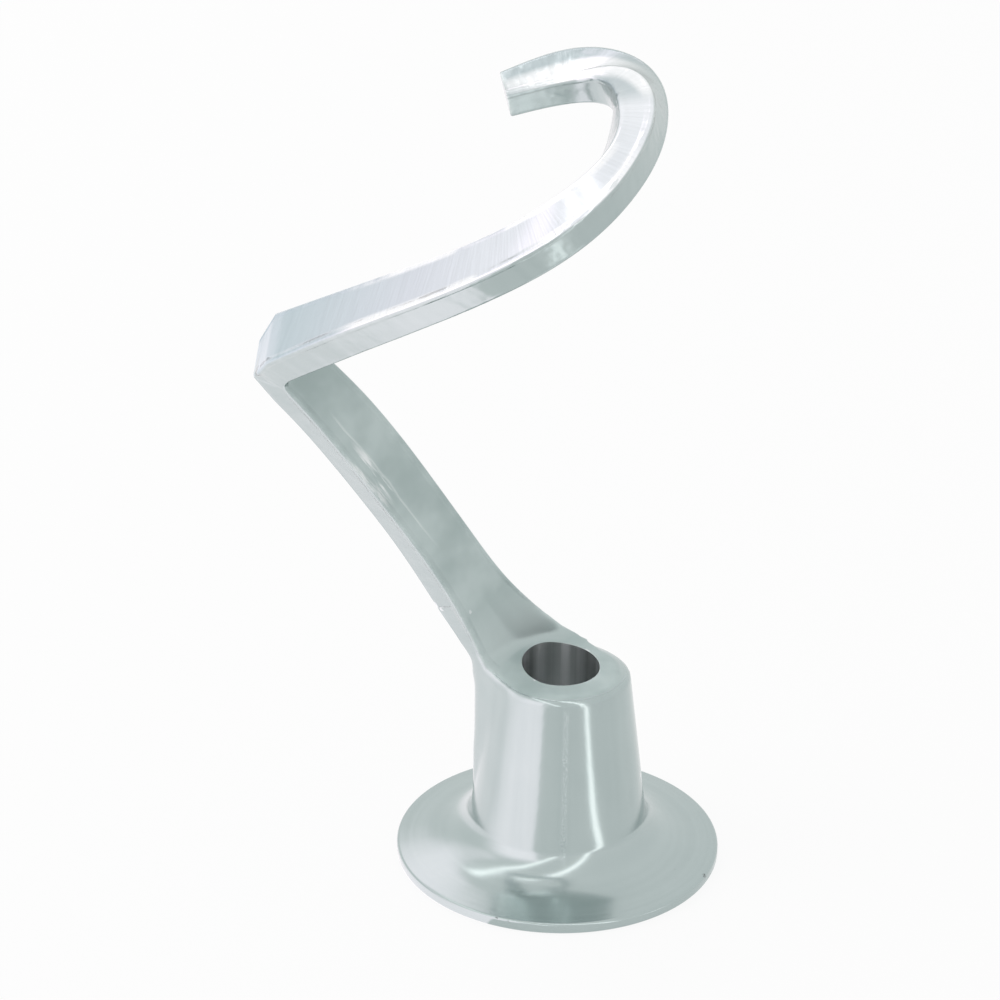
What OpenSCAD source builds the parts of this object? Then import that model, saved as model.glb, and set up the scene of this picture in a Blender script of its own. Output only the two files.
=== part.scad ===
// Dough hook of a bench planetary mixer, cast in one piece.
// It stands on its splash disc, as it does on a shelf. The drive shaft enters the bore
// from below, so the arm above the hub is the end that works in the bowl.
// Millimetres, +Z up, origin on the bore axis in the flat face of the disc.

/* [Drive bore] */
// Bore diameter, a running fit on the mixer's shaft
bore_d = 20; // [12:0.5:26]
// Width of the slot that takes the shaft's cross pin
slot_w = 7; // [4:0.5:9]
// Depth of the slot behind the bore wall
slot_depth = 4.5; // [2:0.5:6]
// Height of the slot's closed end above the disc's flat face
slot_h = 26; // [16:1:36]
// Turn of the slot's locking run round the bore, in degrees
slot_turn = 50; // [30:5:80]

/* [Hub] */
// Height of the hub at the bore axis
hub_h = 54; // [45:1:70]
// Radius of the hub at its top
hub_top_r = 18; // [16:0.5:22]
// Radius of the hub where the cove starts
hub_base_r = 22.4; // [20:0.5:26]
// Radius that breaks the hub's top edge
hub_edge_r = 2.5; // [1:0.25:3.5]
// Distance from the axis at which the hub's top falls away at the back right
fall_r = 13.7; // [13:0.1:15]
// Slope of that fall, in degrees
fall_slope = 30; // [20:5:50]

/* [Splash disc] */
// Radius of the disc
disc_r = 42; // [38:0.5:55]
// Thickness of the disc at its rim
disc_rim = 3; // [2:0.25:5]
// Slope of the disc's top from the rim to the foot of the cove, in degrees
disc_slope = 10; // [4:1:16]
// Radius of the cove between the disc and the hub
cove_r = 13; // [8:0.5:16]
// Radius that breaks the rim's edges
rim_edge_r = 0.8; // [0.4:0.1:1.2]

/* [Arm] */
// Distance of the elbow to the left of the bore axis
elbow_left = 70; // [55:1:85]
// Distance of the elbow in front of the bore axis
elbow_front = 15; // [8:1:22]
// Height of the elbow above the disc's flat face
elbow_h = 148; // [125:1:170]
// Greatest distance of the upper arm in front of the bore axis
sweep_front = 57; // [45:1:68]
// Rise of the upper arm from the elbow to the top of the curl
arm_rise = 64; // [50:1:80]
// Greatest distance of the curl to the right of the bore axis
curl_right = 15.5; // [11:0.5:20]
// Distance of the tip behind the bore axis
tip_back = 10; // [7:0.5:14]
// Distance of the tip to the left of the bore axis
tip_left = 16; // [11:0.5:20]

/* [Bar] */
// Width of the bar across its ground top face at the elbow
bar_w = 16.2; // [13:0.2:19]
// Thickness of the bar at the elbow
bar_t = 8.8; // [7:0.2:11]
// Width of the arm where it spreads into the hub
root_w = 33.6; // [28:0.4:37]
// Hollow of the arm's inner face where it scoops down to the bore
scoop = 5; // [3:0.5:7]
// Bulge of the hidden lower face of the curl
belly = 2.4; // [1:0.2:4]
// Radius of the bar's edges
bar_edge_r = 1.5; // [0.8:0.1:2]

/* [Hidden] */

// Steps of the curves: rings along each arm, points round each broken edge
lower_steps = 24;
upper_steps = 54;
edge_steps = 2;
// Facets of the turned faces
turn_fn = 144;
// Overrun of every cut past the face that it opens
over = 1;
// Shortest side that a corner's curve is worked out on
least = 0.01;
// Greatest share of a side that a corner's curve takes
edge_share = 0.42;

// How deep the arm's feet sink into the hub's side where they run out
sink = 0.4;
// Inner edge of the rim's broken edge, and height at which the cove ends on the hub
rim_x = disc_r - rim_edge_r;
cove_top = disc_rim + (rim_x - hub_base_r - cove_r) * tan(disc_slope) + cove_r;

// Root of the arm: middle of the line where its inner face leaves the hub's top, in
// front of the bore, so that the face runs over the back half of the hub's top
root_shares = [0.06, -0.33];
root_at = [root_shares.x * hub_top_r, root_shares.y * hub_top_r, hub_h];

// Centre line of the upper arm, from the elbow round the front to the tip: its places
// across, in depth and in height as shares of the arm's own sizes
left_shares = [-1, -0.62, 0, 0, 0, 0, 0];
right_shares = [0, 0, -0.71, 0.67, 0.98, 0.40, 0];
front_shares = [0, -0.67, -1, -0.81, -0.23, 0, 0];
back_shares = [0, 0, 0, 0, 0, 0.92, 1];
rise_shares = [0, 0.33, 0.69, 0.94, 1, 0.97, 0.89];
upper_last = len(rise_shares) - 1;
upper_path = [for (i = [0 : upper_last]) [
    left_shares[i] * elbow_left + right_shares[i] * curl_right - (i == upper_last ? tip_left : 0),
    front_shares[i] * sweep_front + back_shares[i] * tip_back - (i == 0 ? elbow_front : 0),
    elbow_h + rise_shares[i] * arm_rise
]];
// Inward lean of the bar's top face at those places: the bar rolls by more than
// a right angle on its way, so its outer side ends on top
lean_angles = [-43, -39, -27, -14, 17, 56, 61];
// Widths of the ground top face, which runs out to an edge at the tip
face_shares = [1, 0.86, 0.79, 0.43, 0.49, 0.13, 0.05];
// Thicknesses of the bar
depth_shares = [1, 1, 0.95, 1, 0.84, 0.81, 0.72];
// Angles by which the outer and the inner side spread from the top face
outer_spread = [-2, -1, -3, 16, 22, 48, 45];
inner_spread = [0, 2, 6, 17, 26, 33, 37];
// Growth of the lower face's bulge towards the tip
belly_shares = [0, 0, 0.1, 0.3, 0.7, 1, 1];

// Middle of the lower arm's inner face, from the root to the elbow, as shares of
// the way between them across, in depth and in height
lower_shares = [
    [0, 0, 0], [0.099, -1.148, 0.018], [0.171, -1.082, 0.07],
    [0.299, -0.606, 0.22], [0.441, -0.18, 0.4], [0.598, 0.207, 0.59],
    [0.792, 0.683, 0.81], [1, 1, 1]
];
// Growth of the hollow towards the root, and its depths across the face
scoop_shares = [0, 0.7, 0.7, 0.25, 0, 0, 0, 0];
hollow_shares = [0.6, 1, 0.6];
// Depths of a rounded face at the same places
round_shares = [0.77, 1, 0.77];
// Growth of that face's width from the bar's to the root's
spread_shares = [0.79, 0.95, 0.67, 0.22, 0.10, 0.08, 0.01, 0];
// Bearing and tilt of the line across that face
across_bearing = [29, 46, 45, 46, 43, 43, 49, 69];
across_tilt = [0, 0, 1, 3, 1, 5, 20, 38];
// Thickness of the lower arm behind it
lower_depth_shares = [0.75, 0.72, 0.68, 0.95, 1, 1, 1, 0.85];
// Offsets from the upper arm's own outer corners to the cut corner of the elbow, as
// shares of the bar's width: its lower edge, then its upper edge
cut_low_shares = [[-0.055, 0.395, -0.32], [-0.216, 0.123, -0.457]];
cut_high_shares = [[0.18, -0.10, 0.13], [0.04, -0.04, 0.03]];
// Bearings of the corners of the arm's feet on the hub in degrees, and their heights
foot_bearings = [182, 102, 86, 218];
foot_h_shares = [0.36, 0.60, 0.80];
// Bearing of the middle of that fall in degrees, and how far its axis stands off the
// bore's, as a share of the hub's top radius
fall_bearing = 41;
fall_share = 0.22;
// Height at which the arm's outer side leaves the hub's side
lip_share = 0.9;
// Places on the lower and on the upper arm, from 0 to 1, where the fillet inside
// the elbow starts and ends
fillet_start = 0.97;
fillet_end = 0.035;

// Natural cubic spline through a list of numbers, vectors or rings: the second
// differences of its pieces, by forward elimination and back substitution
function pull(p, i) = 6 * (p[i - 1] - 2 * p[i] + p[i + 1]);
function pivot(i) = i <= 1 ? 1 / 4 : 1 / (4 - pivot(i - 1));
function bends(p) =
    let (
        n = len(p) - 1,
        down = [for (i = 1, v = pull(p, 1) * pivot(1); i < n; i = i + 1,
                v = i < n ? (pull(p, i) - v) * pivot(i) : v) v],
        up = [for (k = n - 2, v = down[n - 2]; k >= 0; k = k - 1,
                v = k >= 0 ? down[k] - pivot(k + 1) * v : v) v]
    )
    concat([0 * p[0]], [for (k = [n - 2 : -1 : 0]) up[k]], [0 * p[0]]);
function spline_at(p, m, u) =
    let (
        n = len(p) - 1,
        i = min(floor(u * n), n - 1),
        t = u * n - i,
        s = 1 - t
    )
    s * p[i] + t * p[i + 1] + ((s ^ 3 - s) * m[i] + (t ^ 3 - t) * m[i + 1]) / 6;
function slope_at(p, m, u) =
    let (
        n = len(p) - 1,
        i = min(floor(u * n), n - 1),
        t = u * n - i,
        s = 1 - t
    )
    p[i + 1] - p[i] + ((1 - 3 * s ^ 2) * m[i] + (3 * t ^ 2 - 1) * m[i + 1]) / 6;

function unit(v) = v / norm(v);
function scaled(shares, size) = [for (s = shares) s * size];

// A face from corner a to corner b with three places between them, bulged by v
function face(a, b, v = [0, 0, 0], shares = hollow_shares) = [
    a,
    for (k = [0 : 2]) let (t = (k + 1) / 4) (1 - t) * a + t * b + shares[k] * v,
    b
];

// Outline of the bar's section at u on the upper arm: its top face from the outer to
// the inner side, then its lower face back to the outer side
upper_bends = bends(upper_path);
lean_bends = bends(lean_angles);
face_w = scaled(face_shares, bar_w);
face_bends = bends(face_w);
depth = scaled(depth_shares, bar_t);
depth_bends = bends(depth);
outer_bends = bends(outer_spread);
inner_bends = bends(inner_spread);
bulge = scaled(belly_shares, belly);
bulge_bends = bends(bulge);

function upper_ring(u) =
    let (
        c = spline_at(upper_path, upper_bends, u),
        along = unit(slope_at(upper_path, upper_bends, u)),
        up0 = unit([0, 0, 1] - along.z * along),
        side0 = cross(along, up0),
        lean = spline_at(lean_angles, lean_bends, u),
        up = cos(lean) * up0 - sin(lean) * side0,
        side = cross(along, up),
        w = spline_at(face_w, face_bends, u) / 2,
        h = spline_at(depth, depth_bends, u) / 2,
        ko = 2 * h * tan(spline_at(outer_spread, outer_bends, u)),
        ki = 2 * h * tan(spline_at(inner_spread, inner_bends, u)),
        b = spline_at(bulge, bulge_bends, u),
        outer_top = c + w * side + h * up,
        inner_top = c - w * side + h * up,
        inner = c - (w + ki) * side - h * up,
        outer = c + (w + ko) * side - h * up
    )
    concat(face(outer_top, inner_top), face(inner, outer, -b * up));

// The same corners on the lower arm. Its inner face carries on the lower face of
// the upper arm, and its outer face carries on the top face.
elbow_ring = upper_ring(0);
outer_low = len(elbow_ring) - 1;
inner_low = len(elbow_ring) / 2;
function lower_half(ring) = [for (k = [inner_low : outer_low]) ring[k]];
elbow_across = elbow_ring[inner_low] - elbow_ring[outer_low];
elbow_mid = elbow_ring[outer_low] + elbow_across / 2;
lower_mid = [for (s = lower_shares) [
    root_at.x + s.x * (elbow_mid.x - root_at.x),
    root_at.y + s.y * (elbow_mid.y - root_at.y),
    root_at.z + s.z * (elbow_mid.z - root_at.z)
]];
lower_bends = bends(lower_mid);
lower_last = len(lower_shares) - 1;
elbow_w = norm(elbow_across);
lower_rings = [for (i = [0 : lower_last])
    let (
        m = lower_mid[i],
        along = unit(slope_at(lower_mid, lower_bends, i / lower_last)),
        q = across_tilt[i],
        flat = [cos(across_bearing[i]) * cos(q), sin(across_bearing[i]) * cos(q), sin(q)],
        across = i == lower_last ? unit(elbow_across) : flat,
        out = unit(cross(along, across)),
        w = (elbow_w + spread_shares[i] * (root_w - elbow_w)) / 2,
        t = lower_depth_shares[i] * bar_t,
        away = [-flat.y, flat.x, 0],
        a = m + w * across,
        b = m - w * across
    )
    concat(face(b + t * out, a + t * out), face(a, b, scoop_shares[i] * scoop * away))];
// The first of them lies on the hub's top and reaches back round the hub's side
lip_ring = concat(round_the_hub(lip_share * hub_h), lower_half(lower_rings[0]));
// The second one's outer side is halfway from there to the third one's
second_ring = concat(
    [for (k = [0 : inner_low - 1]) (lip_ring[k] + lower_rings[2][k]) / 2],
    lower_half(lower_rings[1])
);
arm_rings = [lip_ring, second_ring, for (i = [2 : lower_last]) lower_rings[i]];
arm_bends = bends(arm_rings);
// Two rings round the elbow: the lower edge of its cut corner, then its upper edge.
// Both keep to the fillet inside the elbow.
fillet_low = spline_at(arm_rings, arm_bends, fillet_start);
fillet_high = upper_ring(fillet_end);
function cut_ring(shares, t) = concat(
    face(elbow_ring[0] + bar_w * shares[0], elbow_ring[inner_low - 1] + bar_w * shares[1]),
    lower_half((1 - t) * fillet_low + t * fillet_high)
);
corner_rings = [cut_ring(cut_low_shares, 1 / 3), cut_ring(cut_high_shares, 2 / 3)];

// Feet of the arm on the hub's left and back, sunk into the hub: bearings and
// radii of the corners, and heights from the cove up
function polar(a, r, z) = [r * cos(a), r * sin(a), z];
function hub_r(z) = hub_base_r - (hub_base_r - hub_top_r) * (z - cove_top) / (hub_h - cove_top);
function round_the_hub(z) =
    let (
        half = (foot_bearings[0] - foot_bearings[1]) / 2,
        bulge = polar(foot_bearings[1] + half, hub_base_r * (1 - cos(half)), 0)
    )
    face(polar(foot_bearings[0], hub_base_r, z), polar(foot_bearings[1], hub_base_r, z),
        bulge, round_shares);
foot_rings = [for (s = foot_h_shares)
    let (z = s * hub_h, r = hub_r(z) - sink)
    concat(round_the_hub(z), face(polar(foot_bearings[2], r, z), polar(foot_bearings[3], r, z)))];

// A corner softened by a short curve that starts and ends on its two edges
function soft(a, b, c) =
    let (
        ab = norm(a - b),
        cb = norm(c - b),
        p = b + (a - b) * min(bar_edge_r / max(ab, least), edge_share),
        q = b + (c - b) * min(bar_edge_r / max(cb, least), edge_share)
    )
    [for (k = [0 : edge_steps])
        let (t = k / edge_steps)
        (1 - t) ^ 2 * p + 2 * t * (1 - t) * b + t ^ 2 * q];
function softened(ring) =
    let (n = len(ring), half = n / 2)
    [for (i = [0 : n - 1])
        each i % half > 0 && i % half < half - 1 ? [ring[i]]
            : soft(ring[(i + n - 1) % n], ring[i], ring[(i + 1) % n])];

// Closed skin over a list of rings
module skin(rings) {
    m = len(rings[0]);
    n = len(rings);
    points = [for (r = rings) each r];
    walls = [for (j = [0 : n - 2], i = [0 : m - 1])
        let (a = j * m + i, b = j * m + (i + 1) % m)
        each [[a, b, b + m], [a, b + m, a + m]]];
    start = [for (i = [m - 1 : -1 : 0]) i];
    end = [for (i = [0 : m - 1]) (n - 1) * m + i];
    polyhedron(points = points, faces = concat(walls, [start, end]), convexity = 8);
}

// The whole arm: feet, lower arm, cut corner of the elbow, upper arm and curl
module arm() {
    lower = [for (k = [0 : lower_steps])
        spline_at(arm_rings, arm_bends, fillet_start * k / lower_steps)];
    upper = [for (k = [0 : upper_steps])
        upper_ring(fillet_end + (1 - fillet_end) * k / upper_steps)];
    skin([for (r = concat(foot_rings, lower, corner_rings, upper)) softened(r)]);
}

// Outline of the disc and the hub to the right of the axis, with the cove and the
// broken edges as arcs
module half_outline() {
    draft = atan((hub_base_r - hub_top_r) / (hub_h - cove_top));
    cove_x = hub_base_r + cove_r * cos(draft);
    edge_x = hub_top_r - hub_edge_r;
    edge_z = hub_h - hub_edge_r;
    polygon([
        [0, 0],
        for (a = [-90 : 15 : 0])
            [rim_x + rim_edge_r * cos(a), rim_edge_r + rim_edge_r * sin(a)],
        for (a = [0 : 15 : 90])
            [rim_x + rim_edge_r * cos(a), disc_rim - rim_edge_r + rim_edge_r * sin(a)],
        for (a = [270 - disc_slope : -6 : 180 + draft])
            [cove_x + cove_r * cos(a), cove_top + cove_r * sin(a)],
        for (a = [0 : 15 : 90])
            [edge_x + hub_edge_r * cos(a), edge_z + hub_edge_r * sin(a)],
        [0, hub_h]
    ]);
}

// Bore, and the slot for the shaft's cross pin: up from the flat face and then round
// to its locking end
module drive_socket() {
    bore_r = bore_d / 2;
    reach = bore_r + slot_depth;
    translate([0, 0, -over])
        cylinder(h = over + hub_h + hub_top_r, r = bore_r, $fn = turn_fn);
    translate([0, -slot_w / 2, -over])
        cube([reach, slot_w, slot_h + over]);
    translate([0, 0, slot_h - slot_w])
        rotate_extrude(angle = slot_turn, $fn = turn_fn)
            square([reach, slot_w]);
}

// Disc and hub in one turned form, with the top ground down at the back right
module stand() {
    off = fall_share * hub_top_r;
    drop = (disc_r - fall_r) * tan(fall_slope);
    difference() {
        rotate_extrude($fn = turn_fn) half_outline();
        rotate([0, 0, fall_bearing]) translate([-off, 0, 0]) rotate_extrude($fn = turn_fn)
            polygon([[fall_r + off, hub_h], [disc_r + off, hub_h - drop], [disc_r + off, hub_h + over],
                [fall_r + off, hub_h + over]]);
    }
}

module dough_hook() {
    color([0.74, 0.77, 0.77])
        difference() {
            union() {
                stand();
                arm();
            }
            drive_socket();
        }
}

dough_hook();
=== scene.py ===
"""Dough hook of a bench planetary mixer: a burnished aluminium casting that stands on its splash disc.
Metres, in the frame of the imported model: +Z up the bore, -Y towards the camera."""

import math

import bmesh
import bpy
from mathutils import Euler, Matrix, Vector, bvhtree, kdtree, noise


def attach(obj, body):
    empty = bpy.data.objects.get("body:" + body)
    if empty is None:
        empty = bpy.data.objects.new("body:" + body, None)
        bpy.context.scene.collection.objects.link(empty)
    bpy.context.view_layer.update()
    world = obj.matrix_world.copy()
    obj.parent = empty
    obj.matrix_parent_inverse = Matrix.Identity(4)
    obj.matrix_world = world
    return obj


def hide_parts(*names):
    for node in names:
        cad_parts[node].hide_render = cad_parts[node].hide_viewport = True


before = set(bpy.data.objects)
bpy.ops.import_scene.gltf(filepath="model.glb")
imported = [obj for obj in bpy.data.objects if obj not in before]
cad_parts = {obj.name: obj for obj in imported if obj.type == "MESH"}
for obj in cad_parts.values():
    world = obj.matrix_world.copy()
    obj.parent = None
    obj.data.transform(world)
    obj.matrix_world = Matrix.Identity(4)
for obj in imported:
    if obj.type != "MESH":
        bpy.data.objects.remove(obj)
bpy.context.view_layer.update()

# A long lens looks down at the hook from the front. It is turned a little, as the
# photograph is, so the bore's axis leans to the right.
camera = bpy.data.objects.new("camera", bpy.data.cameras.new("camera"))
camera.location = (0.0, -0.8509, 0.5253)
camera.rotation_euler = Euler([math.radians(a) for a in (63.513, -0.633, 1.398)])
camera.data.sensor_width = 36.0
camera.data.lens = 136.66
camera.data.clip_start = 0.05
camera.data.clip_end = 20.0
bpy.context.scene.collection.objects.link(camera)
bpy.context.scene.camera = camera

# Splash disc and hub: cast with the arm, and turned all over round the bore's axis.
# The disc's coned top runs into the drafted hub over a wide cove, the rim is broken,
# and the hub's top is ground down at the back right.
hub_height, hub_top, hub_foot, hub_edge = 0.054, 0.018, 0.0224, 0.0025
disc_radius, disc_rim, disc_slope = 0.042, 0.003, math.radians(10)
cove_radius, rim_edge = 0.013, 0.0008
rim_x = disc_radius - rim_edge
cove_height = disc_rim + (rim_x - hub_foot - cove_radius) * math.tan(disc_slope) + cove_radius
draft = math.atan((hub_foot - hub_top) / (hub_height - cove_height))


def arc(cx, cz, radius, start, end, steps):
    """Points of an arc in the XZ plane, angles in degrees."""
    turns = [math.radians(start + (end - start) * i / steps) for i in range(steps + 1)]
    return [Vector((cx + radius * math.cos(a), 0, cz + radius * math.sin(a))) for a in turns]


def turned(name, outline):
    """A solid turned round the bore's axis from its outline, which starts and ends on the axis."""
    bm = bmesh.new()
    points = [bm.verts.new(p) for p in outline]
    edges = [bm.edges.new(pair) for pair in zip(points, points[1:])]
    bmesh.ops.spin(bm, geom=points + edges, axis=(0, 0, 1), cent=(0, 0, 0),
                   angle=math.tau, steps=240, use_merge=True)
    bmesh.ops.remove_doubles(bm, verts=bm.verts, dist=1e-6)
    bmesh.ops.recalc_face_normals(bm, faces=bm.faces)
    mesh = bpy.data.meshes.new(name)
    bm.to_mesh(mesh)
    bm.free()
    solid = bpy.data.objects.new(name, mesh)
    bpy.context.scene.collection.objects.link(solid)
    return solid


# The cove leaves both faces slowly and turns most in between.
cove_drop, cove_reach, cove_pull = 0.003, 0.0121, 0.6
cove_top = Vector((hub_foot + cove_drop * math.tan(draft), 0,
                   cove_height - cove_radius * math.sin(draft) - cove_drop))
cove_foot = Vector((hub_foot + cove_reach, 0,
                    disc_rim + (rim_x - hub_foot - cove_reach) * math.tan(disc_slope)))
slope_gap = cove_top.z - cove_foot.z + (cove_top.x - cove_foot.x) * math.tan(disc_slope)
corner = cove_top + (Vector((math.tan(draft), 0, -1)) * slope_gap
                     / (1 - math.tan(draft) * math.tan(disc_slope)))
near_foot, near_top = cove_foot.lerp(corner, cove_pull), cove_top.lerp(corner, cove_pull)
cove = [(1 - t) ** 3 * cove_foot + 3 * t * (1 - t) ** 2 * near_foot
        + 3 * t * t * (1 - t) * near_top + t ** 3 * cove_top
        for t in (i / 32 for i in range(33))]
disc_outline = [
    Vector((0, 0, 0)), Vector((0.03, 0, 0)),
    *arc(rim_x, rim_edge, rim_edge, -90, 0, 6),
    *arc(rim_x, disc_rim - rim_edge, rim_edge, 0, 90, 6),
    *cove,
]
hook = turned("dough_hook_casting", [
    *disc_outline,
    *arc(hub_top - hub_edge, hub_height - hub_edge, hub_edge, 0, 90, 8),
    Vector((0, 0, hub_height)),
])
disc = turned("disc", disc_outline)
fall_radius, fall_off, fall_clear = 0.0137, 0.22 * hub_top, 0.002
fall_bearing, fall_slope = math.radians(41), math.radians(30)
inside, outside = fall_radius + fall_off, disc_radius
fall = turned("fall", [
    Vector((inside, 0, hub_height)),
    Vector((outside, 0, hub_height - (outside - inside) * math.tan(fall_slope))),
    Vector((outside, 0, hub_height + fall_clear)), Vector((inside, 0, hub_height + fall_clear)),
    Vector((inside, 0, hub_height)),
])
for vert in fall.data.vertices:
    vert.co += Vector((-math.cos(fall_bearing), -math.sin(fall_bearing), 0)) * fall_off
ground = hook.modifiers.new("ground", "BOOLEAN")
ground.operation, ground.solver, ground.object = "DIFFERENCE", "EXACT", fall

# Arm: one flat bar that leaves the hub's back, leans out to the left, folds over at the
# elbow, sweeps round the front and curls over the hub. It rolls as it goes, so that its
# outer side ends on top, and its ground top face runs out to an edge at the tip.
elbow = Vector((-0.070, -0.015, 0.148))
sweep, rise, reach, tip_back, tip_left = 0.057, 0.064, 0.0155, 0.010, 0.016
bar_width, bar_depth, root_width = 0.0162, 0.0088, 0.0336
scoop, belly, broken, tip_bevel = 0.005, 0.0024, 0.0011, 0.0004


def spline(rows):
    """A natural cubic spline through rows of numbers, as a function of the way along, 0 to 1."""
    last = len(rows) - 1
    gains, pulls = [0.0], [[0.0] * len(rows[0])]
    for i in range(1, last):
        gains.append(1 / (4 - gains[-1]))
        pulls.append([(6 * (a - 2 * b + c) - m) * gains[-1]
                      for a, b, c, m in zip(rows[i - 1], rows[i], rows[i + 1], pulls[-1])])
    curls = [[0.0] * len(rows[0]) for _ in rows]
    for i in range(last - 1, 0, -1):
        curls[i] = [m - gains[i] * k for m, k in zip(pulls[i], curls[i + 1])]

    def at(u):
        i = max(0, min(int(u * last), last - 1))
        t = u * last - i
        s = 1 - t
        return [s * a + t * b + ((s ** 3 - s) * p + (t ** 3 - t) * q) / 6
                for a, b, p, q in zip(rows[i], rows[i + 1], curls[i], curls[i + 1])]
    return at


def face(a, b, bulge=Vector(), beside=0.6):
    """A face from corner a to corner b, bulged or hollowed between them."""
    return [a, a.lerp(b, 0.25) + beside * bulge, a.lerp(b, 0.5) + bulge,
            a.lerp(b, 0.75) + beside * bulge, b]


# Place, lean, width, depth, spread of the outer and of the inner side, bulge
upper = spline([
    [elbow.x, elbow.y, elbow.z, -43, 1, 1, -2, 0, 0],
    [0.62 * elbow.x, -0.67 * sweep, elbow.z + 0.33 * rise, -39, 0.86, 1, -1, 2, 0],
    [-0.71 * reach, -sweep, elbow.z + 0.69 * rise, -27, 0.79, 0.95, -3, 6, 0.1],
    [0.67 * reach, -0.81 * sweep, elbow.z + 0.94 * rise, -14, 0.43, 1, 16, 17, 0.3],
    [0.98 * reach, -0.23 * sweep, elbow.z + rise, 17, 0.49, 0.84, 22, 26, 0.7],
    [0.40 * reach, 0.92 * tip_back, elbow.z + 0.97 * rise, 56, 0.13, 0.81, 48, 33, 1],
    [-tip_left, tip_back, elbow.z + 0.89 * rise, 61, 0.05, 0.72, 45, 37, 1],
])


def upper_section(u):
    """The top face from its outer to its inner corner, and the lower face back again."""
    x, y, z, lean, width, depth, outer, inner, bulge = upper(u)
    middle = Vector((x, y, z))
    way = (Vector(upper(u + 0.001)[:3]) - Vector(upper(u - 0.001)[:3])).normalized()
    rest = (Vector((0, 0, 1)) - way.z * way).normalized()
    lean = math.radians(lean)
    up = math.cos(lean) * rest - math.sin(lean) * way.cross(rest)
    side = way.cross(up)
    half, down = width * bar_width / 2, depth * bar_depth / 2
    out = half + 2 * down * math.tan(math.radians(outer))
    back = half + 2 * down * math.tan(math.radians(inner))
    return [*face(middle + half * side + down * up, middle - half * side + down * up),
            *face(middle - back * side - down * up, middle + out * side - down * up, -bulge * belly * up)]


at_elbow = upper_section(0)
root = Vector((0.06 * hub_top, -0.33 * hub_top, hub_height))
fold = (at_elbow[5] + at_elbow[9]) / 2
# Shares of the way from the root to the elbow across, in depth and in height, then
# spread, bearing and tilt across, depth and hollow of the face
lower_stations = [
    (0, 0, 0, 0.79, 29, 0, 0.75, 0), (0.099, -1.148, 0.018, 0.95, 46, 0, 0.72, 0.7),
    (0.171, -1.082, 0.07, 0.67, 45, 1, 0.68, 0.7), (0.299, -0.606, 0.22, 0.22, 46, 3, 0.95, 0.25),
    (0.441, -0.18, 0.4, 0.10, 43, 1, 1, 0), (0.598, 0.207, 0.59, 0.08, 43, 5, 1, 0),
    (0.792, 0.683, 0.81, 0.01, 49, 20, 1, 0), (1, 1, 1, 0, 69, 38, 0.85, 0),
]
middle_line = spline([[root[k] + row[k] * (fold[k] - root[k]) for k in range(3)]
                      for row in lower_stations])
sections = []
for i, row in enumerate(lower_stations):
    u = i / (len(lower_stations) - 1)
    middle = Vector(middle_line(u))
    way = (Vector(middle_line(u + 0.001)) - Vector(middle_line(u - 0.001))).normalized()
    bearing, tilt = math.radians(row[4]), math.radians(row[5])
    across = Vector((math.cos(bearing) * math.cos(tilt), math.sin(bearing) * math.cos(tilt),
                     math.sin(tilt)))
    hollow = row[7] * scoop * Vector((-across.y, across.x, 0))
    if i == len(lower_stations) - 1:
        across = (at_elbow[5] - at_elbow[9]).normalized()
    out = way.cross(across).normalized() * row[6] * bar_depth
    spread = (at_elbow[5] - at_elbow[9]).length
    across = across * (spread + row[3] * (root_width - spread)) / 2
    sections.append([*face(middle - across + out, middle + across + out),
                     *face(middle + across, middle - across, hollow)])


def on_hub(bearing, radius, height):
    a = math.radians(bearing)
    return Vector((radius * math.cos(a), radius * math.sin(a), height))


def round_hub(height):
    """The bar's outer side where it runs down round the hub's left and back."""
    return face(on_hub(182, hub_foot, height), on_hub(102, hub_foot, height),
                on_hub(142, hub_foot * (1 - math.cos(math.radians(40))), 0), 0.77)


sections[0][:5] = round_hub(0.9 * hub_height)
sections[1][:5] = [(a + b) / 2 for a, b in zip(sections[0][:5], sections[2][:5])]
feet = []
for share in (0.36, 0.60, 0.80):
    z = share * hub_height
    sunk = hub_foot - (hub_foot - hub_top) * (z - cove_height) / (hub_height - cove_height) - 0.0004
    feet.append([*round_hub(z), *face(on_hub(86, sunk, z), on_hub(218, sunk, z))])
lower = spline([[c for p in section for c in p] for section in sections])


def lower_section(u):
    flat = lower(u)
    return [Vector(flat[k:k + 3]) for k in range(0, 30, 3)]


# The elbow's outer corner is ground off flat, and a small fillet lies inside the fold.
crease_low, crease_high = lower_section(0.985)[5:], upper_section(0.018)[5:]
cut_low = [(-0.055, 0.395, -0.32), (-0.216, 0.123, -0.457)]
cut_high = [(0.18, -0.10, 0.13), (0.04, -0.04, 0.03)]
elbow_sections = []
for t in (0, 0.17, 0.34, 0.5, 0.66, 0.83, 1):
    outer, inner = (Vector(a).lerp(Vector(b), t) for a, b in zip(cut_low, cut_high))
    elbow_sections.append(
        face(at_elbow[0] + bar_width * outer, at_elbow[4] + bar_width * inner)
        + [(1 - t) ** 2 * a + 2 * t * (1 - t) * v + t * t * b
           for a, v, b in zip(crease_low, at_elbow[5:], crease_high)])


def softened(section):
    """The section with its four corners broken to short curves."""
    points = []
    for i, corner in enumerate(section):
        if i % 5 in (0, 4):
            before, after = section[i - 1] - corner, section[(i + 1) % 10] - corner
            before *= min(broken / max(before.length, 1e-5), 0.42)
            after *= min(broken / max(after.length, 1e-5), 0.42)
            points.append(corner + 1.25 * before)
            points += [corner + (1 - t) ** 2 * before + t ** 2 * after
                       for t in (0, 0.2, 0.4, 0.6, 0.8, 1)]
            points.append(corner + 1.25 * after)
        else:
            points.append(corner)
    return points


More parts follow.
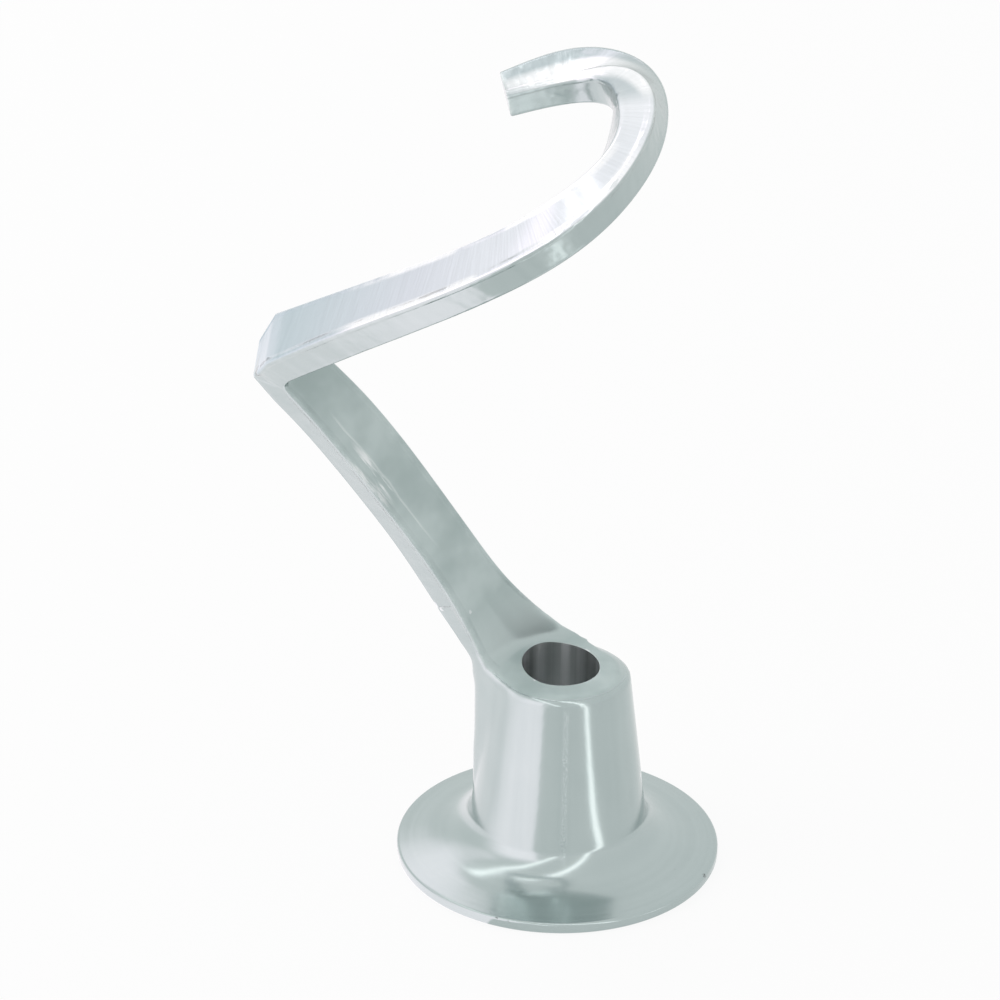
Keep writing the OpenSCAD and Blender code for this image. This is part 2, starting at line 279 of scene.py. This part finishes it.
lower_steps, upper_steps, lower_end, upper_start = 90, 200, 0.97, 0.035
loft = (feet + [lower_section(lower_end * i / lower_steps) for i in range(lower_steps + 1)]
        + elbow_sections
        + [upper_section(upper_start + (1 - upper_start) * i / upper_steps)
           for i in range(upper_steps + 1)])
bm = bmesh.new()
start = end = bm.faces.new([bm.verts.new(p) for p in softened(loft[0])])
for section in loft[1:]:
    grown, passed = bmesh.ops.extrude_face_region(bm, geom=[end])["geom"], end
    end = next(g for g in grown if isinstance(g, bmesh.types.BMFace))
    for vert, place in zip(end.verts, softened(section)):
        vert.co = place
    if passed.is_valid and passed is not start:
        bm.faces.remove(passed)
bmesh.ops.bevel(bm, geom=list(end.edges), offset=tip_bevel, segments=2, profile=0.5,
                affect="EDGES", material=-1)
bmesh.ops.recalc_face_normals(bm, faces=bm.faces)
bar_mesh, arm_mesh = bpy.data.meshes.new("bar"), bpy.data.meshes.new("arm")
bm.to_mesh(bar_mesh)
bmesh.ops.triangulate(bm, faces=bm.faces)
bm.to_mesh(arm_mesh)
drawn = bvhtree.BVHTree.FromBMesh(bm)
bm.free()
arm = bpy.data.objects.new("arm", arm_mesh)
bpy.context.scene.collection.objects.link(arm)

# One casting: disc, hub and arm are poured together, so they run into each other over
# small fillets. Casting and hand grinding leave every edge broken and the faces wavy.


def settle(piece):
    """Applies a piece's modifiers to its mesh."""
    shaped = piece.evaluated_get(bpy.context.evaluated_depsgraph_get())
    old, piece.data = piece.data, bpy.data.meshes.new_from_object(shaped)
    piece.modifiers.clear()
    bpy.data.meshes.remove(old)


pour = hook.modifiers.new("pour", "BOOLEAN")
pour.operation, pour.solver, pour.object = "UNION", "EXACT", arm
skin = hook.modifiers.new("skin", "REMESH")
skin.mode, skin.voxel_size = "VOXEL", 0.00052
settle(hook)

bm = bmesh.new()
bm.from_mesh(hook.data)
even_passes, root_passes = 5, 36
for _ in range(even_passes):
    bmesh.ops.smooth_vert(bm, verts=bm.verts, factor=0.5,
                          use_axis_x=True, use_axis_y=True, use_axis_z=True)
towards_arm, root_low, root_high = Vector((-0.9, 0.43, 0)), 0.030, 0.062
nearness = {v: min(1, v.co.dot(towards_arm) / 0.005, (v.co.z - root_low) / 0.006,
                   (root_high - v.co.z) / 0.005)
            for v in bm.verts if root_low < v.co.z < root_high}
for turn in range(root_passes):
    near_root = [v for v, share in nearness.items() if share > turn / root_passes]
    bmesh.ops.smooth_vert(bm, verts=near_root, factor=0.5,
                          use_axis_x=True, use_axis_y=True, use_axis_z=True)
drawn_low, drawn_high = 0.064, 0.080
for v in bm.verts:
    if drawn_low < v.co.z < drawn_high:
        v.co = v.co.lerp(drawn.find_nearest(v.co)[0], min(1, (v.co.z - drawn_low) / 0.006))

# The skin is kept only round the hub. The disc below it keeps its turned faces and the
# bar above it its ground ones, and both are joined to it edge to edge.
skin_low, skin_high, gap = disc_outline[-1].z + 0.0006, 0.072, 0.0005
for height, above in ((skin_low, True), (skin_high, False)):
    bmesh.ops.bisect_plane(bm, geom=bm.verts[:] + bm.edges[:] + bm.faces[:],
                           plane_co=(0, 0, height), plane_no=(0, 0, 1),
                           clear_inner=above, clear_outer=not above)
bar = bmesh.new()
bar.from_mesh(bar_mesh)
bmesh.ops.bisect_plane(bar, geom=bar.verts[:] + bar.edges[:] + bar.faces[:],
                       plane_co=(0, 0, skin_high + gap), plane_no=(0, 0, 1), clear_inner=True)
bmesh.ops.subdivide_edges(bar, edges=[e for e in bar.edges if e.is_boundary], cuts=5)
bar.to_mesh(bar_mesh)
bar.free()
bm.from_mesh(bar_mesh)
bmesh.ops.bridge_loops(bm, edges=[e for e in bm.edges
                                  if e.is_boundary and e.verts[0].co.z > hub_height])
bm.from_mesh(disc.data)
bmesh.ops.bridge_loops(bm, edges=[e for e in bm.edges if e.is_boundary])
bm.normal_update()
wavy_from, wave_height = 0.056, 0.00005
for v in bm.verts:
    if v.co.z > wavy_from:
        v.co += v.normal * wave_height * noise.noise(v.co * 70)
bmesh.ops.recalc_face_normals(bm, faces=bm.faces)
bm.to_mesh(hook.data)
bm.free()
for spare in (arm, fall, disc):
    bpy.data.objects.remove(spare)
bpy.data.meshes.remove(bar_mesh)

# Drive bore: machined right through the hub after casting, with a slot and a locking
# run for the cross pin of the mixer's shaft. Its lower mouth is broken.
bore_radius, slot_width, slot_depth, slot_height = 0.010, 0.007, 0.0045, 0.026
slot_turn, mouth, past, run_start = math.radians(50), 0.0006, 0.02, 0.001
bore = turned("bore", [
    Vector((0, 0, -past)), Vector((bore_radius + mouth + past, 0, -past)),
    Vector((bore_radius, 0, mouth)), Vector((bore_radius, 0, hub_height + past)),
    Vector((0, 0, hub_height + past)),
])
bm = bmesh.new()
bmesh.ops.create_cube(bm, size=1)
bmesh.ops.scale(bm, verts=bm.verts, vec=(bore_radius + slot_depth, slot_width, slot_height + past))
bmesh.ops.translate(bm, verts=bm.verts,
                    vec=((bore_radius + slot_depth) / 2, 0, (slot_height - past) / 2))
slot_mesh = bpy.data.meshes.new("slot")
bm.to_mesh(slot_mesh)
bm.free()
slot = bpy.data.objects.new("slot", slot_mesh)
bm = bmesh.new()
corners = [bm.verts.new(p) for p in (
    (run_start, 0, slot_height - slot_width), (bore_radius + slot_depth, 0, slot_height - slot_width),
    (bore_radius + slot_depth, 0, slot_height), (run_start, 0, slot_height))]
run_face = bm.faces.new(corners)
bmesh.ops.spin(bm, geom=[run_face], axis=(0, 0, 1), cent=(0, 0, 0), angle=slot_turn, steps=20)
bmesh.ops.recalc_face_normals(bm, faces=bm.faces)
run_mesh = bpy.data.meshes.new("locking_run")
bm.to_mesh(run_mesh)
bm.free()
run = bpy.data.objects.new("locking_run", run_mesh)
for cutter in (slot, run):
    bpy.context.scene.collection.objects.link(cutter)

# Metal: the whole casting is bare aluminium, sanded along and across the bar, turned
# on the disc, rubbed up and down on the hub, and buffed most where it is easy to reach.
# Its colour is also painted lighter round the curl and along the edges, as highlight.
# The parting line of the mould shows down the hub's front.


def add(tree, kind, feeds=(), **settings):
    """A node of a material with its settings, each input fed by a socket or a value."""
    made = tree.nodes.new("ShaderNode" + kind)
    for key, value in settings.items():
        setattr(made, key, value)
    for socket, feed in feeds:
        if isinstance(feed, bpy.types.NodeSocket):
            tree.links.new(feed, made.inputs[socket])
        else:
            made.inputs[socket].default_value = feed
    return made


def maths(tree, operation, *feeds, clamp=False):
    return add(tree, "Math", list(enumerate(feeds)), operation=operation, use_clamp=clamp).outputs[0]


def band(tree, value, start, end, low=0.0, high=1.0):
    """A smooth step of a value between two places."""
    return add(tree, "MapRange", (("Value", value), ("From Min", start), ("From Max", end),
                                  ("To Min", low), ("To Max", high)),
               interpolation_type="SMOOTHSTEP").outputs[0]


def product(tree, *feeds):
    """Several values multiplied with each other."""
    result = feeds[0]
    for feed in feeds[1:]:
        result = maths(tree, "MULTIPLY", result, feed)
    return result


def blend(tree, factor, low, high, **settings):
    """A colour between two colours."""
    return add(tree, "Mix", (("Factor", factor), (6, low), (7, high)),
               data_type="RGBA", **settings).outputs[2]


# Tool marks: fine scratches that run one way, and the slow unevenness under them.
marks = bpy.data.node_groups.new("tool_marks", "ShaderNodeTree")
for name, kind, way in (("Place", "NodeSocketVector", "INPUT"), ("Along", "NodeSocketFloat", "INPUT"),
                        ("Across", "NodeSocketFloat", "INPUT"), ("Height", "NodeSocketFloat", "OUTPUT"),
                        ("Shade", "NodeSocketFloat", "OUTPUT")):
    marks.interface.new_socket(name, in_out=way, socket_type=kind)
taken, given = marks.nodes.new("NodeGroupInput"), marks.nodes.new("NodeGroupOutput")
stretch = add(marks, "CombineXYZ", ((0, taken.outputs["Along"]), (1, taken.outputs["Across"]),
                                    (2, taken.outputs["Across"])))
placed = add(marks, "VectorMath", ((0, taken.outputs["Place"]), (1, stretch.outputs[0])),
             operation="MULTIPLY").outputs[0]
fine = add(marks, "TexNoise", (("Vector", placed), ("Scale", 1.0), ("Detail", 4.0), ("Roughness", 0.65)))
slow = add(marks, "TexNoise", (("Vector", placed), ("Scale", 0.11), ("Detail", 2.0), ("Roughness", 0.5)))
marks.links.new(fine.outputs["Fac"], given.inputs["Height"])
marks.links.new(band(marks, slow.outputs["Fac"], 0.32, 0.68), given.inputs["Shade"])


def tool_marks(tree, place, along, across):
    return add(tree, "Group", (("Place", place), ("Along", along), ("Across", across)), node_tree=marks)


metal = bpy.data.materials.new("burnished_cast_aluminium")
metal.use_nodes = True
tree = metal.node_tree
bsdf = tree.nodes["Principled BSDF"]
spot = add(tree, "TexCoord").outputs["Object"]
part = add(tree, "SeparateXYZ", ((0, spot),))
x, y, z = part.outputs
on_bar = add(tree, "Attribute", attribute_name="on_bar").outputs["Fac"]
satin = add(tree, "Attribute", attribute_name="satin").outputs["Fac"]
ground_face = add(tree, "Attribute", attribute_name="ground_face").outputs["Fac"]
bar_place = add(tree, "Attribute", attribute_name="bar_place").outputs["Vector"]
bar_part = add(tree, "SeparateXYZ", ((0, bar_place),))
radius = maths(tree, "SQRT", maths(tree, "ADD", product(tree, x, x), product(tree, y, y)))
bearing = maths(tree, "ARCTAN2", x, maths(tree, "MULTIPLY", y, -1.0))
turned_place = add(tree, "CombineXYZ", ((0, maths(tree, "ADD", radius, z)),
                                        (1, maths(tree, "MULTIPLY", bearing, 0.03)), (2, 0.0))).outputs[0]

# Sanding runs across the bar's faces, turning round the disc, and rubbing up the hub.
sanding = tool_marks(tree, bar_place, 2600.0, 60.0)
turning = tool_marks(tree, turned_place, 3000.0, 22.0)
rubbing = tool_marks(tree, turned_place, 60.0, 900.0)
on_disc = band(tree, z, 0.009, 0.015, 1.0, 0.0)
worked = [add(tree, "Mix", (("Factor", on_disc), (2, rubbing.outputs[k]), (3, turning.outputs[k]))).outputs[0]
          for k in ("Height", "Shade")]
way = add(tree, "Mix", (("Factor", on_bar), (2, worked[0]), (3, sanding.outputs["Height"])))
shade = add(tree, "Mix", (("Factor", on_bar), (2, worked[1]), (3, sanding.outputs["Shade"])))
clouds = add(tree, "TexNoise", (("Vector", spot), ("Scale", 55.0), ("Detail", 3.0), ("Roughness", 0.55)))
grain = add(tree, "TexNoise", (("Vector", spot), ("Scale", 1500.0), ("Detail", 3.0), ("Roughness", 0.6)))
waves = add(tree, "TexNoise", (("Vector", spot), ("Scale", 75.0), ("Detail", 1.0), ("Roughness", 0.4)))

# The parting line: a narrow rough band down the front of the hub that dies out in the cove.
line = product(
    tree, band(tree, maths(tree, "ABSOLUTE", maths(tree, "ADD", x, -0.0016)), 0.0004, 0.0012, 1.0, 0.0),
    band(tree, y, -0.012, -0.014), band(tree, z, 0.008, 0.014), band(tree, z, 0.050, 0.053, 1.0, 0.0))
beads = add(tree, "TexNoise", (("Vector", spot), ("Scale", 4200.0), ("Detail", 2.0), ("Roughness", 0.7)))
rough_line = maths(tree, "MULTIPLY", line, band(tree, beads.outputs["Fac"], 0.40, 0.80))

# Pores of the casting, few and small, and the nicks on the rim.
pores = add(tree, "TexVoronoi", (("Vector", spot), ("Scale", 260.0), ("Randomness", 1.0)), feature="F1")
some = band(tree, add(tree, "SeparateColor", ((0, pores.outputs["Color"]),)).outputs[0], 0.80, 0.95, 0.0, 0.5)
uneven = maths(tree, "ADD", pores.outputs["Distance"], maths(tree, "MULTIPLY", grain.outputs["Fac"], 0.12))
pore = product(tree, some, band(tree, uneven, 0.06, 0.13, 1.0, 0.0),
               band(tree, clouds.outputs["Fac"], 0.52, 0.62))
for place, size in (((0.0384, -0.0171, 0.0027), 0.0014), ((-0.0150, -0.0392, 0.0028), 0.0007),
                    ((-0.0118, -0.0403, 0.0024), 0.0006)):
    off = add(tree, "VectorMath", ((0, spot), (1, place)), operation="DISTANCE").outputs["Value"]
    ragged = maths(tree, "ADD", off, maths(tree, "MULTIPLY", grain.outputs["Fac"], 0.0022))
    nick = band(tree, ragged, 0.0008 + size * 0.4, 0.0011 + size * 0.6, 0.8, 0.0)
    pore = maths(tree, "MAXIMUM", pore, nick)

# Edges are rubbed smoother than the faces between them, and painted brighter as highlight.
edge_wear_and_sheen = band(tree, add(tree, "NewGeometry").outputs["Pointiness"], 0.52, 0.60)

blotch = maths(tree, "ADD", maths(tree, "MULTIPLY", shade.outputs[0], 0.25),
               maths(tree, "ADD", maths(tree, "MULTIPLY", clouds.outputs["Fac"], 0.55),
                     maths(tree, "MULTIPLY", way.outputs[0], 0.2)))
base = blend(tree, blotch, (0.385, 0.455, 0.450, 1), (0.475, 0.545, 0.540, 1))

# The bar's top face was sanded after casting. Its colour holds a painted reflection, dull by
# the elbow and bright round the curl, and painted highlight streaks along its last stretch.
along = bar_part.outputs[0]
sanded_and_painted_sheen = add(tree, "ValToRGB", (("Fac", maths(tree, "DIVIDE", along, 0.176)),))
stops = sanded_and_painted_sheen.color_ramp.elements
stops[0].color, stops[1].color = (0.44, 0.53, 0.57, 1), (0.48, 0.55, 0.57, 1)
for at, tone in ((0.10, (0.49, 0.58, 0.62, 1)), (0.25, (0.60, 0.66, 0.71, 1)),
                 (0.38, (0.68, 0.71, 0.77, 1)), (0.50, (0.76, 0.79, 0.84, 1)),
                 (0.85, (0.84, 0.87, 0.90, 1)), (0.91, (0.52, 0.59, 0.61, 1))):
    stops.new(at).color = tone
length_marks = tool_marks(tree, bar_place, 40.0, 330.0)
# Painted highlight: white streaks on the top face's last stretch.
painted_highlight_streak = product(tree, band(tree, length_marks.outputs["Shade"], 0.60, 0.80),
                 band(tree, along, 0.150, 0.160))
sanded_and_painted_sheen = blend(tree, painted_highlight_streak, sanded_and_painted_sheen.outputs[0], (0.92, 0.94, 0.95, 1))
off_edge = add(tree, "Attribute", attribute_name="off_edge").outputs["Fac"]
# Painted glints: the top face is whiter close to its edges along part of the sweep.
painted_edge_glints = product(
    tree, band(tree, off_edge, 0.0012, 0.0026, 1.0, 0.0), band(tree, along, 0.040, 0.050),
    band(tree, along, 0.125, 0.135, 1.0, 0.0), band(tree, clouds.outputs["Fac"], 0.38, 0.5))
sanded_and_painted_sheen = blend(tree, painted_edge_glints, sanded_and_painted_sheen, (0.97, 0.98, 1.0, 1))
fine_line = maths(tree, "ADD", maths(tree, "MULTIPLY", way.outputs[0], 0.30), 0.85)
sanded_and_painted_sheen = add(tree, "VectorMath", ((0, sanded_and_painted_sheen), ("Scale", fine_line)), operation="SCALE")
base = blend(tree, ground_face, base, sanded_and_painted_sheen.outputs[0])

# Its inner face is as cast and clouded, with a ridge where the edge was dressed and scuffs
# beside it. Its ridge line is a painted highlight, and painted light brightens it above the root.
inside = add(tree, "Attribute", attribute_name="inside_crease").outputs["Fac"]
wander = add(tree, "TexNoise", (("Vector", spot), ("Scale", 60.0), ("Detail", 2.0), ("Roughness", 0.6)))
from_ridge = maths(tree, "SUBTRACT", maths(tree, "SUBTRACT", inside, 0.0038),
                   maths(tree, "MULTIPLY", wander.outputs["Fac"], 0.0026))
dressed = product(tree, band(tree, along, -0.062, -0.050), band(tree, along, -0.016, -0.011, 1.0, 0.0),
                  satin)
# Painted highlight: a thin lighter line along the ridge.
painted_ridge_highlight = product(tree, dressed, band(tree, maths(tree, "ABSOLUTE", from_ridge), 0.0001, 0.0004, 1.0, 0.0))
strip = product(tree, dressed, band(tree, from_ridge, -0.0003, 0.0, 1.0, 0.0))
scuff = product(tree, strip, band(tree, along, -0.044, -0.036), band(tree, along, -0.028, -0.020, 1.0, 0.0),
                band(tree, length_marks.outputs["Height"], 0.46, 0.58))
# Painted light: the inner face is lighter just above the hub's top, fading up the arm.
painted_light_by_root = product(tree, band(tree, z, 0.055, 0.059), band(tree, z, 0.059, 0.080, 1.5, 0.0))
clouds_and_painted_light = maths(tree, "MAXIMUM", band(tree, clouds.outputs["Fac"], 0.35, 0.7), painted_light_by_root)
cast_face_and_painted_light = blend(tree, clouds_and_painted_light, (0.43, 0.52, 0.51, 1), (0.56, 0.65, 0.64, 1), clamp_factor=False)
cast_face_and_painted_light = blend(tree, maths(tree, "MAXIMUM", scuff, maths(tree, "MULTIPLY", painted_ridge_highlight, 0.35)), cast_face_and_painted_light,
                  (0.86, 0.90, 0.90, 1))
base = blend(tree, satin, base, cast_face_and_painted_light)
tree.links.new(maths(tree, "SUBTRACT", 0.88, maths(tree, "MULTIPLY", satin, 0.5)), bsdf.inputs["Metallic"])

# Painted highlight: the edges and the rim's corners are lighter, on top of their wear.
wear_and_edge_highlight = blend(tree, maths(tree, "MULTIPLY", edge_wear_and_sheen, 0.8), base, (0.78, 0.82, 0.83, 1))
lined = blend(tree, maths(tree, "MULTIPLY", rough_line, 0.5), wear_and_edge_highlight, (0.70, 0.75, 0.76, 1))
pitted = blend(tree, pore, lined, (0.10, 0.11, 0.11, 1))
tree.links.new(pitted, bsdf.inputs["Base Color"])

rough = add(tree, "Mix", (("Factor", on_bar), (2, 0.14), (3, 0.19)))
rough = add(tree, "Mix", (("Factor", satin), (2, rough.outputs[0]), (3, 0.52)))
rough = maths(tree, "ADD", rough.outputs[0], maths(tree, "MULTIPLY", shade.outputs[0], 0.05))
rough = maths(tree, "ADD", rough, maths(tree, "MULTIPLY", rough_line, 0.25))
rough = maths(tree, "SUBTRACT", rough, maths(tree, "MULTIPLY", edge_wear_and_sheen, 0.04), clamp=True)
tree.links.new(rough, bsdf.inputs["Roughness"])

swell = add(tree, "Bump", (("Height", waves.outputs["Fac"]), ("Distance", 0.00025), ("Strength", 0.5)))
scored = add(tree, "Bump", (("Height", way.outputs[0]), ("Distance", 0.000010), ("Strength", 0.5),
                            ("Normal", swell.outputs[0])))
grainy = add(tree, "Bump", (("Height", grain.outputs["Fac"]), ("Distance", 0.000012), ("Strength", 0.5),
                            ("Normal", scored.outputs[0])))
filed = add(tree, "TexNoise", (("Vector", spot), ("Scale", 130.0), ("Detail", 2.0), ("Roughness", 0.5)))
filed = product(tree, filed.outputs["Fac"], band(tree, off_edge, 0.0008, 0.0022, 1.0, 0.0), on_bar)
chipped = add(tree, "Bump", (("Height", filed), ("Distance", 0.0009), ("Strength", 0.7),
                             ("Normal", grainy.outputs[0])))
dents = maths(tree, "SUBTRACT", rough_line, maths(tree, "MULTIPLY", pore, 2.0))
dents = maths(tree, "ADD", dents, maths(tree, "MULTIPLY", strip, -1.5))
dented = add(tree, "Bump", (("Height", dents), ("Distance", 0.00006), ("Strength", 0.6),
                            ("Normal", chipped.outputs[0])))
tree.links.new(dented.outputs[0], bsdf.inputs["Normal"])

# The bored wall has a tone and roughness of its own, with the reamer's marks running up it.
bored = bpy.data.materials.new("bored_wall")
bored.use_nodes = True
tree = bored.node_tree
bsdf = tree.nodes["Principled BSDF"]
bsdf.inputs["Metallic"].default_value = 1.0
part = add(tree, "SeparateXYZ", ((0, add(tree, "TexCoord").outputs["Object"]),))
turn = maths(tree, "ARCTAN2", part.outputs[0], maths(tree, "MULTIPLY", part.outputs[1], -1.0))
wall = add(tree, "CombineXYZ", ((0, turn), (1, part.outputs[2]), (2, 0.0))).outputs[0]
reamed = tool_marks(tree, wall, 17.0, 5.0)
streaky = maths(tree, "ADD", maths(tree, "MULTIPLY", reamed.outputs["Height"], 0.5),
                maths(tree, "MULTIPLY", reamed.outputs["Shade"], 0.6))
tone = blend(tree, streaky, (0.42, 0.46, 0.45, 1), (0.92, 0.94, 0.95, 1))
tree.links.new(tone, bsdf.inputs["Base Color"])
tree.links.new(maths(tree, "ADD", maths(tree, "MULTIPLY", reamed.outputs["Shade"], 0.12), 0.30),
               bsdf.inputs["Roughness"])
scored = add(tree, "Bump", (("Height", reamed.outputs["Height"]), ("Distance", 0.00004), ("Strength", 0.6)))
tree.links.new(scored.outputs[0], bsdf.inputs["Normal"])

hook.data.materials.append(metal)
for cutter in (bore, slot, run):
    cutter.data.materials.append(bored)
    cut = hook.modifiers.new(cutter.name, "BOOLEAN")
    cut.operation, cut.solver, cut.object = "DIFFERENCE", "EXACT", cutter
    cut.material_mode = "TRANSFER"
settle(hook)
for cutter in (bore, slot, run):
    bpy.data.objects.remove(cutter)
for polygon in hook.data.polygons:
    polygon.use_smooth = True
hook.data.set_sharp_from_angle(angle=math.radians(35))

# Each point of the casting keeps its place along, across and through the bar, so that
# the sanding follows it, and how far it belongs to the bar and to its satin faces.
middles = [sum((section[k] for k in (0, 4, 5, 9)), Vector()) / 4 for section in loft]
nearby = kdtree.KDTree(len(middles))
frames, gone = [], 0.0
for i, middle in enumerate(middles):
    nearby.insert(middle, i)
    gone += (middle - middles[i - 1]).length if i else 0.0
    heading = (middles[min(i + 1, len(middles) - 1)] - middles[max(i - 1, 0)]).normalized()
    over = loft[i][4] - loft[i][0] + loft[i][5] - loft[i][9]
    over = (over - over.dot(heading) * heading).normalized()
    through = heading.cross(over)
    if through.dot(loft[i][0] + loft[i][4] - loft[i][5] - loft[i][9]) < 0:
        through = -through
    frames.append((gone, heading, over, through))
nearby.balance()
elbow_length = frames[len(feet) + lower_steps][0]
kinds = {"bar_place": "FLOAT_VECTOR", "on_bar": "FLOAT", "satin": "FLOAT", "ground_face": "FLOAT",
         "inside_crease": "FLOAT", "off_edge": "FLOAT"}
for name, kind in kinds.items():
    hook.data.attributes.new(name, kind, "POINT")
bar_data, on_data, satin_data, ground_data, inside_data, rim_data = (
    hook.data.attributes[name].data for name in kinds)


def ramp(value, start, end):
    t = min(1.0, max(0.0, (value - start) / (end - start)))
    return t * t * (3 - 2 * t)


for i, vert in enumerate(hook.data.vertices):
    middle, near, _ = nearby.find(vert.co)
    way_gone, heading, over, through = frames[near]
    off = vert.co - middle
    place = Vector((way_gone - elbow_length + off.dot(heading), off.dot(over), off.dot(through)))
    bar_data[i].vector = place
    on_data[i].value = ramp(vert.co.z, 0.052, 0.062)
    on_lower = ramp(-place.x, -0.006, -0.002) * ramp(-vert.normal.dot(through), 0.2, 0.8)
    ground_data[i].value = ramp(place.x, 0.0, 0.003) * ramp(vert.normal.dot(through), 0.5, 0.8)
    inside_data[i].value = (vert.co - loft[near][9]).dot(over)
    rim_data[i].value = min((vert.co - loft[near][k]).cross(heading).length for k in (0, 4, 5, 9))
    on_top = (ramp(vert.normal.z, 0.8, 0.95) * ramp(vert.co.z, 0.0500, 0.0535)
              * ramp(0.070 - vert.co.z, 0, 0.01))
    satin_data[i].value = max(on_lower * on_data[i].value, on_top)

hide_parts("dough_hook")
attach(hook, "root")

# Floor and light: white paper under soft light. The metal sees a large bright panel on
# its left, a smaller one behind it, two narrow tubes at the front and their gleam on the
# paper, and the camera sees plain white.
glow = bpy.data.node_groups.new("panel_gleam", "ShaderNodeTree")
glow.interface.new_socket("Direction", in_out="INPUT", socket_type="NodeSocketVector")
glow.interface.new_socket("Color", in_out="OUTPUT", socket_type="NodeSocketColor")
taken, given = glow.nodes.new("NodeGroupInput"), glow.nodes.new("NodeGroupOutput")
aim = add(glow, "VectorMath", ((0, taken.outputs[0]),), operation="NORMALIZE").outputs[0]
part = add(glow, "SeparateXYZ", ((0, aim),))
turn = maths(glow, "ARCTAN2", part.outputs[0], maths(glow, "MULTIPLY", part.outputs[1], -1.0))
height = part.outputs[2]
left = maths(glow, "MAXIMUM", band(glow, turn, -1.9, -1.0), band(glow, height, -0.1, 0.1, 0.45, 0.0))
left = product(glow, left, band(glow, turn, -0.435, -0.420, 1.0, 0.0),
               band(glow, height, 0.45, 0.75, 1.0, 0.0))
behind = product(
    glow, band(glow, height, 0.45, 0.62), band(glow, height, 0.70, 0.74, 1.0, 0.0),
    band(glow, turn, -2.75, -2.2, 1.0, 0.45), band(glow, turn, -3.08, -3.0),
    band(glow, turn, -1.7, -1.3, 1.0, 0.0))
lit = blend(glow, maths(glow, "MAXIMUM", left, behind), (1, 1, 1, 1), (1.80, 1.62, 1.70, 1))
for level, lean, half, reach, bend, start in ((1.5, (0.777, 0.602, 0.181), 0.042, 0.2, 0.0, -0.6),
                                              (1.6, (0.870, 0.054, 0.491), 0.030, 0.6, 0.21, 0.2)):
    lying = add(glow, "VectorMath", ((0, aim), (1, lean)), operation="DOT_PRODUCT").outputs["Value"]
    bent = maths(glow, "MULTIPLY", bend, maths(glow, "MAXIMUM", part.outputs[1], 0.0))
    lying = maths(glow, "SUBTRACT", lying, bent)
    tube = product(
        glow, band(glow, maths(glow, "ABSOLUTE", lying), half, half + 0.012, 1.0, 0.0),
        band(glow, part.outputs[1], reach - 0.1, reach, 1.0, 0.0),
        band(glow, height, start - 0.1, start))
    lit = blend(glow, tube, lit, (1.1 + level, 1 + level, 1 + level, 1))
glow.links.new(lit, given.inputs[0])

bm = bmesh.new()
bmesh.ops.create_grid(bm, x_segments=1, y_segments=1, size=4)
floor_mesh = bpy.data.meshes.new("floor")
bm.to_mesh(floor_mesh)
bm.free()
floor = bpy.data.objects.new("floor", floor_mesh)
bpy.context.scene.collection.objects.link(floor)
paper = bpy.data.materials.new("white_paper")
paper.use_nodes = True
tree = paper.node_tree
tree.nodes.clear()
path = add(tree, "LightPath")
mirror_height = 0.045
lifted = add(tree, "VectorMath", ((0, add(tree, "TexCoord").outputs["Object"]), (1, (0, 0, -mirror_height))),
             operation="ADD")
gleam = add(tree, "Group", ((0, lifted.outputs[0]),), node_tree=glow)
seen = blend(tree, path.outputs["Is Glossy Ray"], (1, 1, 1, 1), gleam.outputs[0])
direct = maths(tree, "MAXIMUM", path.outputs["Is Camera Ray"], path.outputs["Is Glossy Ray"])
share = maths(tree, "MULTIPLY", 0.9, direct)
matt = add(tree, "BsdfDiffuse", (("Color", (0.9, 0.9, 0.9, 1)),))
lamp_glow = add(tree, "Emission", (("Color", seen), ("Strength", 1.0)))
both = add(tree, "MixShader", ((0, share), (1, matt.outputs[0]), (2, lamp_glow.outputs[0])))
add(tree, "OutputMaterial", (("Surface", both.outputs[0]),))
floor.data.materials.append(paper)

world = bpy.data.worlds.new("studio")
bpy.context.scene.world = world
world.use_nodes = True
tree = world.node_tree
sky = tree.nodes["Background"]
path = add(tree, "LightPath")
gleam = add(tree, "Group", ((0, add(tree, "TexCoord").outputs["Generated"]),), node_tree=glow)
seen = blend(tree, path.outputs["Is Glossy Ray"], (1, 1, 1, 1), gleam.outputs[0])
tree.links.new(seen, sky.inputs["Color"])
direct = maths(tree, "MAXIMUM", path.outputs["Is Camera Ray"], path.outputs["Is Glossy Ray"])
tree.links.new(band(tree, direct, 0.0, 1.0, 0.7, 1.0), sky.inputs["Strength"])


def softbox(name, place, target, width, height, watts):
    """A square studio lamp that faces its target."""
    lamp = bpy.data.objects.new(name, bpy.data.lights.new(name, "AREA"))
    lamp.data.shape = "RECTANGLE"
    lamp.data.size, lamp.data.size_y, lamp.data.energy = width, height, watts
    lamp.location = place
    lamp.rotation_euler = (Vector(target) - Vector(place)).to_track_quat("-Z", "Y").to_euler()
    lamp.visible_glossy = False
    bpy.context.scene.collection.objects.link(lamp)


softbox("left_softbox", (-1.2, -0.2, 0.8), (0, 0, 0.1), 0.9, 1.2, 5)
softbox("back_softbox", (-0.5, 1.0, 1.1), (0, 0, 0.1), 0.9, 0.9, 3)

bpy.context.scene.view_settings.view_transform = "Standard"
